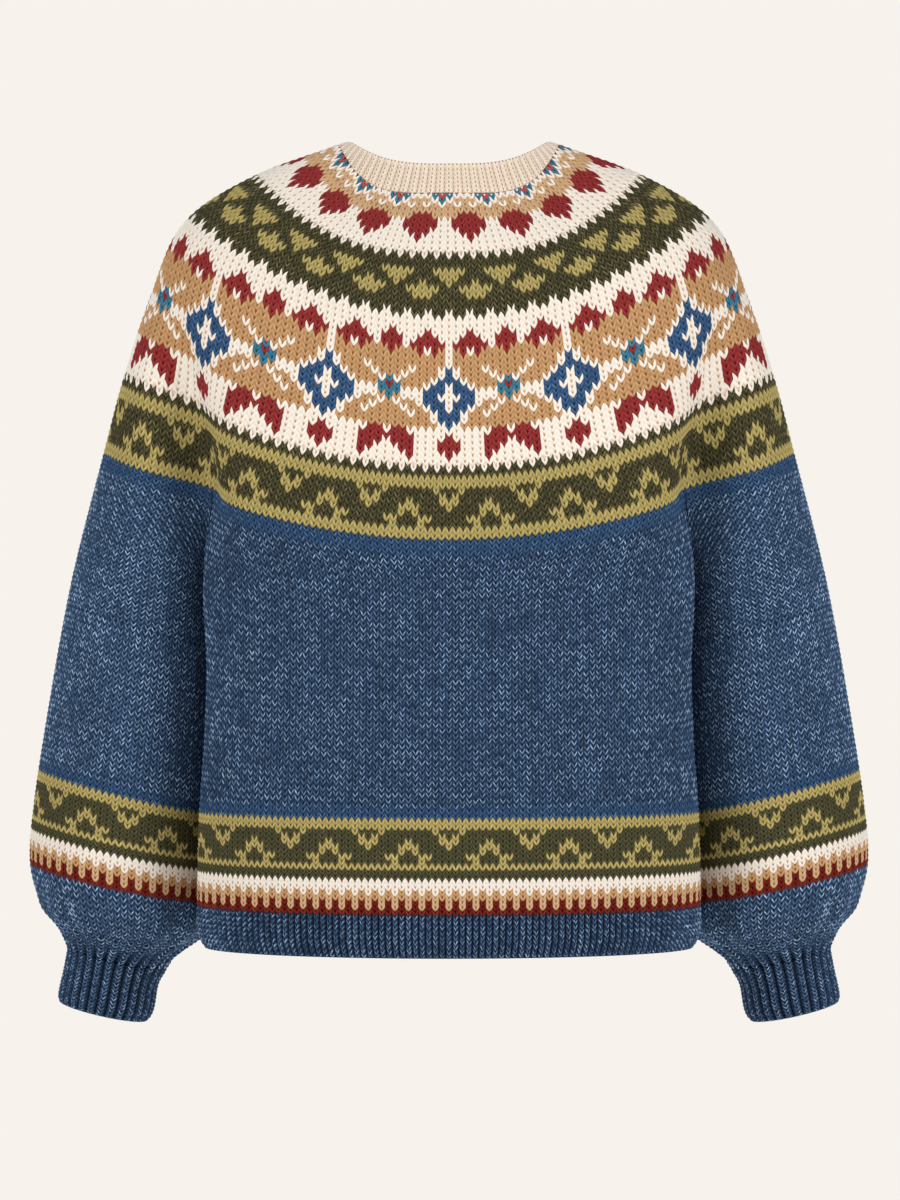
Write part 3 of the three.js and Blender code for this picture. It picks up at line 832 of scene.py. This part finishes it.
# Coloured bands above the hem and the cuffs
bands = [
    "g", "g", "vvgvvvvvvvgv", "vgvvvvvvvvvg", "ggvvvvgvvvvg", "gvvvvgggvvvv",
    "vvvvvgvgvvvv", "vvvggvvvggvv", "vvvvgvvvgvvv", "g", "v", "v", "c", "c",
    "ct", "lt", "lu", "lu",
]
plain = lambda rows, yarn: ["d"] * 3 + [yarn] * (rows - 5) + ["d"] * 2
bodyStitches, plainRows = bodyForm["stitches"], bodyForm["plainRows"]
bodyChart = charted(plain(plainRows, "n") + bands, bodyStitches)
bodyRows = rowField(bodyField, [
    (0, placeRow(1)), (plainRows, placeRow(bodyForm["bandFrom"])),
    (plainRows + len(bands), placeRow(len(bodyKnots) - 1)),
])
underFrom, underTo = backFold, backFold + bodyForm["underarm"]
foldGap = 0.1


# A body stitch counted from the centre back either way
def halfwayRound(u):
    at = (u - 0.5) % bodyStitches
    return np.minimum(at, bodyStitches - at), at > bodyStitches / 2


# The share of the way round at which a body stitch lies. At the top it keeps to the yoke's stitches.
def bodyShare(u, v):
    half, mirrored = halfwayRound(u)
    stitches = [0, underFrom, underTo, bodyStitches / 2]
    topShare = np.interp(half, stitches, [0, backShares / wholeShares, frontShares / wholeShares, 0.5])
    share = mix(topShare, half / bodyStitches, ease(v / bodyForm["evenRows"]))
    return np.where(mirrored, 1 - share, share)


def underBody(u):
    half = halfwayRound(u)[0]
    return ((half > underFrom + foldGap) & (half < underTo - foldGap)).astype(float)


for half, first, last, area in (("back", -51, 52, 0.1457), ("front", 52, 153, 0.1429)):
    chart = bodyChart[:, np.arange(first, last) % bodyStitches]
    shareAt = lambda u, v, first=first: bodyShare(u + first, v)
    flatTop = lambda u, first=first: underBody(u + first)
    zone = knitZone(bodyField, bodyNormals, bodyRows, chart, bodyStitches, shareAt, flatTop=flatTop)
    inner = innerFace(bodyField, bodyNormals, bodyRows, chart, bodyStitches, shareAt, 3, 4)
    piece = build("knit_body_" + half, [zone], inner, wool, ["body_" + half])
print("body knitted")

# The sleeves. The +X one is knitted first and the other is its mirror image.
armPlaces = np.arange(firstPlace, 9.06, 1 / fieldSteps)
armField = drawnDown(armKnots, armPlaces)
near = ease((sleeveForm["gatherFrom"] - armField[..., 2]) / sleeveForm["gatherFade"])
near = near * ease((armPlaces[-1] - 0.1 - armPlaces) / 0.9)[:, None]
wave = np.cos(2 * math.pi * sleeveForm["gathers"] * np.arange(fineColumns) / fineColumns)
depth = sleeveForm["gatherDepth"] * near * wave[None, :]
armField = armField + outwardOf(armField) * depth[..., None]
armField = softened(armField, round(placeRow(sleeveForm["knots"]["cuff"])))
armNormals = normalsOf(armField)


# A rib's knitted column is wider than the sunk one beside it
def ribShare(count, offset, knitShare, startRow, over, turn=0.0):
    def shareAt(u, v):
        pair = np.floor(u / 2)
        within = u - 2 * pair
        wide = 2 * knitShare
        shaped = np.where(within < 1, within * wide, wide + (within - 1) * (2 - wide)) - (wide - 1) / 2
        at = mix(u, 2 * pair + shaped, ease((v - startRow) / over))
        return (at - offset) / count + turn
    return shareAt


upperStitches, lowerStitches = sleeveForm["upperStitches"], sleeveForm["lowerStitches"]
drawnStitches, sleeveRows = sleeveForm["drawnStitches"], sleeveForm["rows"]
sleeveAt = {title: placeRow(knot) for title, knot in sleeveForm["knots"].items()}
armStitches = frontFold - backFold
armMiddle = armStitches / 2 / upperStitches


# At the top a sleeve's stitches keep to the yoke's over the arm, which are two thirds of them
def upperShare(u, v):
    q = (u % upperStitches) / upperStitches
    overArm = armStitches / upperStitches
    underPart = armShare + (q - overArm) / (1 - overArm) * (1 - armShare)
    topShare = np.where(q < overArm, q / overArm * armShare, underPart)
    return mix(topShare, q - armMiddle + outerShare, ease(v / sleeveForm["evenRows"]))


def underSleeve(u):
    return ((u > armStitches + foldGap) & (u < upperStitches - foldGap)).astype(float)


lowerShare = lambda u, v: u / lowerStitches - armMiddle + outerShare
drawnShare = ribShare(
    drawnStitches, 14.5, sleeveForm["knitShare"], startRow=1, over=4, turn=outerShare - 1 / 4,
)


# Marks for rows counted up from stretch to stretch, at the knots that they run between
def sleeveMarks(knots, stretches):
    rows = np.cumsum([0] + [sum(sleeveRows[title] for title in group) for group in stretches])
    return [(int(row), sleeveAt[knot]) for row, knot in zip(rows, knots)]


upperMarks = sleeveMarks(["top", "wider"], [["upper"]])
lowerMarks = sleeveMarks(["wider", "band", "balloon", "drawn"], [["plain"], ["band"], ["balloon"]])
drawnMarks = sleeveMarks(["drawn", "cuff"], [["drawn"]])
innerMarks = sleeveMarks(
    ["top", "wider", "band", "balloon", "cuff"], [["upper"], ["plain"], ["band"], ["balloon", "drawn"]],
)
plainAbove = plain(sleeveRows["upper"] + sleeveRows["plain"], "m")
banded = bands + ["wu"]
upperChart = charted(plain(37, "m")[:sleeveRows["upper"]], upperStitches)
lowerRowYarns = plainAbove[sleeveRows["upper"]:] + banded + ["m"] * sleeveRows["balloon"]
lowerChart = np.roll(charted(lowerRowYarns, lowerStitches), sleeveForm["bandTurn"], axis=1)
drawnChart = charted(["mm"] * 3 + ["mk"] * 4, drawnStitches)
innerRows = plainAbove + banded + ["m"] * (sleeveRows["balloon"] + sleeveRows["drawn"])
innerChart = charted(innerRows, lowerStitches)

for side, flip in (("right", 1), ("left", -1)):
    field, normals = armField * (flip, 1, 1), armNormals * (flip, 1, 1)
    upper = knitZone(field, normals, rowField(field, upperMarks), upperChart, upperStitches, upperShare,
                     flatTop=underSleeve)
    lower = knitZone(field, normals, rowField(field, lowerMarks), lowerChart, lowerStitches, lowerShare)
    drawn = knitZone(field, normals, rowField(field, drawnMarks), drawnChart, drawnStitches, drawnShare,
                     ribbed=(-1, 8), depth=sleeveForm["ribDepth"])
    inner = innerFace(field, normals, rowField(field, innerMarks), innerChart, lowerStitches, lowerShare,
                      2, 4)
    sleeve = [upper, lower, drawn]
    piece = build("knit_sleeve_" + side, sleeve, inner, wool, ["sleeve_" + side])
print("sleeves knitted")


# The ribbed hem. Its columns are a little narrower at their middles, and some are of a paler yarn.
hemForm = {
    "rings": np.array([
        [-580, 191, -126, -38, 125, 1],
        [-592, 191, -126, -38, 125, 1],
        [-606, 190, -125, -38, 124, 1],
        [-616, 185, -122, -38, 121, 1],
    ]),
    "rows": 10, "paleShare": 0.4, "narrowing": 0.09, "ribDepth": 1.5,
}
hemLevels, hemRow = evenPlaces(-577, -616.5, 60)
hemRings = curveThrough(-hemForm["rings"][:, 0], hemForm["rings"], -hemLevels)
hemField = np.array([bodyRing(ring) for ring in hemRings])
hemNormals = normalsOf(hemField)
hemTop, hemBottom = hemForm["rings"][[0, -1], 0]
hemRows = rowField(hemField, [(0, hemRow(hemTop)), (hemForm["rows"], hemRow(hemBottom))])
hemChart = charted(["wu"] + ["n"] * (hemForm["rows"] - 1), bodyStitches)
hemChart[1:, rng.random(bodyStitches) < hemForm["paleShare"]] = yarnNames.index("m")


def hemShare(u, v):
    narrowed = hemForm["narrowing"] * np.sin(2 * math.pi * u) * ease(v - 0.6)
    return (u + narrowed - 0.5) / bodyStitches


zone = knitZone(hemField, hemNormals, hemRows, hemChart, bodyStitches, hemShare, ribbed=(0.8, 0.8),
                depth=hemForm["ribDepth"], ribEvery=1, flatEnds=(False, True))
inner = innerFace(hemField, hemNormals, hemRows, hemChart, bodyStitches, hemShare, 2, 4)
hem = build("knit_hem", [zone], inner, wool, ["hem"])
print("hem knitted")

# The ribbed cuffs
cuffForm = {
    "rings": np.array([
        [299, -626, 227, -641, 54, 38],
        [302, -642, 230, -657, 54, 37],
        [306, -660, 233, -675, 54, 36],
        [306, -668, 238, -684, 54, 33],
    ]),
    "stitches": 56, "rows": 15, "knitShare": 0.6, "ribDepth": 1.4,
}
cuffPlaces, cuffRow = evenPlaces(-0.1, 3.05, 64)
cuffRings = curveThrough(np.arange(4.0), cuffForm["rings"], cuffPlaces)
cuffField = softened(np.array([armRing(ring, 0) for ring in cuffRings]), 2)
cuffNormals = normalsOf(cuffField)
cuffRows = rowField(cuffField, [(0, cuffRow(0)), (cuffForm["rows"], cuffRow(3))])
cuffStitches = cuffForm["stitches"]
cuffChart = charted(["mk"] * cuffForm["rows"], cuffStitches)
cuffShare = ribShare(cuffStitches, 0.5, cuffForm["knitShare"], -2, 1)
for side, flip in (("right", 1), ("left", -1)):
    field, normals = cuffField * (flip, 1, 1), cuffNormals * (flip, 1, 1)
    zone = knitZone(field, normals, cuffRows, cuffChart, cuffStitches, cuffShare, ribbed=(-2, 1),
                    depth=cuffForm["ribDepth"], flatEnds=(False, True))
    inner = innerFace(field, normals, cuffRows, cuffChart, cuffStitches, cuffShare, 2, 4)
    piece = build("knit_cuff_" + side, [zone], inner, wool, ["cuff_" + side])
print("cuffs knitted")

# The ribbed neckband, from its free edge down to the yoke
neckForm = {
    "edge": np.array([76, -46, 6, 62, -23, 0, -76, 3, 2.4]),
    "stitches": 160, "rows": 7, "knitShare": 0.58, "ribDepth": 0.7,
}
ups, neckRow = evenPlaces(1.03, -0.06, 60)
neckRings = [mix(yokeForm["rings"][0, 1:], neckForm["edge"], up) for up in ups]
neckField = np.array([wholeRing(evenHalf(ringPoints(ring), halfColumns)) for ring in neckRings])
neckNormals = normalsOf(neckField)
neckRows = rowField(neckField, [(0, neckRow(1)), (neckForm["rows"], neckRow(0))])
neckStitches = neckForm["stitches"]
neckChart = charted(["s"] * neckForm["rows"], neckStitches)
neckShare = ribShare(neckStitches, 0.5, neckForm["knitShare"], -2, 1)
zone = knitZone(neckField, neckNormals, neckRows, neckChart, neckStitches, neckShare, ribbed=(-2, 1),
                depth=neckForm["ribDepth"], flatEnds=(True, True))
inner = innerFace(neckField, neckNormals, neckRows, neckChart, neckStitches, neckShare, 2, 3)
neckband = build("knit_neckband", [zone], inner, neckWool, ["neckband"])
print("neckband knitted")

# A plain pale floor under a sky of the same paleness, so that no horizon shows
stageForm = {"level": -0.95, "reach": 24.0, "paleness": (247, 242, 236), "ambient": 0.38}
pale = (*[float(x) for x in linear(stageForm["paleness"])], 1)
bpy.ops.object.select_all(action="DESELECT")
bpy.ops.mesh.primitive_plane_add(size=stageForm["reach"], location=(0, 0, stageForm["level"]))
floor = bpy.context.object
floor.name = "floor"
paper = bpy.data.materials.new("pale paper")
paper.use_nodes = True
paperShader = paper.node_tree.nodes["Principled BSDF"]
paperShader.inputs["Base Color"].default_value = (0, 0, 0, 1)
paperShader.inputs["Roughness"].default_value = 1
paperShader.inputs["Specular IOR Level"].default_value = 0
paperShader.inputs["Emission Color"].default_value = pale
paperShader.inputs["Emission Strength"].default_value = 1
floor.data.materials.append(paper)

# The sky lights the part less than it shows
world = bpy.data.worlds.new("studio")
world.use_nodes = True
worldNodes, worldLinks = world.node_tree.nodes, world.node_tree.links
glow = worldNodes["Background"]
glow.inputs["Color"].default_value = (0.97, 0.98, 1, 1)
glow.inputs["Strength"].default_value = stageForm["ambient"]
seen = worldNodes.new("ShaderNodeBackground")
seen.inputs["Color"].default_value = pale
rays = worldNodes.new("ShaderNodeLightPath")
eitherGlow = worldNodes.new("ShaderNodeMixShader")
worldLinks.new(rays.outputs["Is Camera Ray"], eitherGlow.inputs[0])
worldLinks.new(glow.outputs[0], eitherGlow.inputs[1])
worldLinks.new(seen.outputs[0], eitherGlow.inputs[2])
worldLinks.new(eitherGlow.outputs[0], worldNodes["World Output"].inputs["Surface"])
scene.world = world

# Soft lights: place, size, energy and colour
lights = {
    "key": ((-1.8, -2.0, 1.2), 1.1, 32, (1, 0.985, 0.96)),
    "fill": ((1.9, -2.0, 0.5), 1.1, 28, (1, 0.99, 0.98)),
    "back": ((-0.9, 2.4, 0.6), 1.4, 22, (1, 0.99, 0.98)),
}
lightTarget = (0, 0, -0.35)
for name, (location, size, energy, colour) in lights.items():
    data = bpy.data.lights.new(name, "AREA")
    data.shape = "DISK"
    data.size = size
    data.energy = energy
    data.color = colour
    lamp = bpy.data.objects.new(name, data)
    lamp.location = location
    way = np.array(lightTarget) - np.array(location)
    tilt = math.acos(-way[2] / np.linalg.norm(way))
    lamp.rotation_euler = (tilt, 0, math.atan2(way[1], way[0]) - math.pi / 2)
    scene.collection.objects.link(lamp)

cameraForm = {"location": (0.0008, -2.5, -0.353), "lens": 129.88, "sensor": 36}
camera = bpy.data.cameras.new("camera")
camera.sensor_fit = "HORIZONTAL"
camera.sensor_width = cameraForm["sensor"]
camera.lens = cameraForm["lens"]
viewer = bpy.data.objects.new("camera", camera)
viewer.location = cameraForm["location"]
viewer.rotation_euler = (math.pi / 2, 0, 0)
scene.collection.objects.link(viewer)
scene.camera = viewer
scene.view_settings.view_transform = "Standard"
print("stage set")
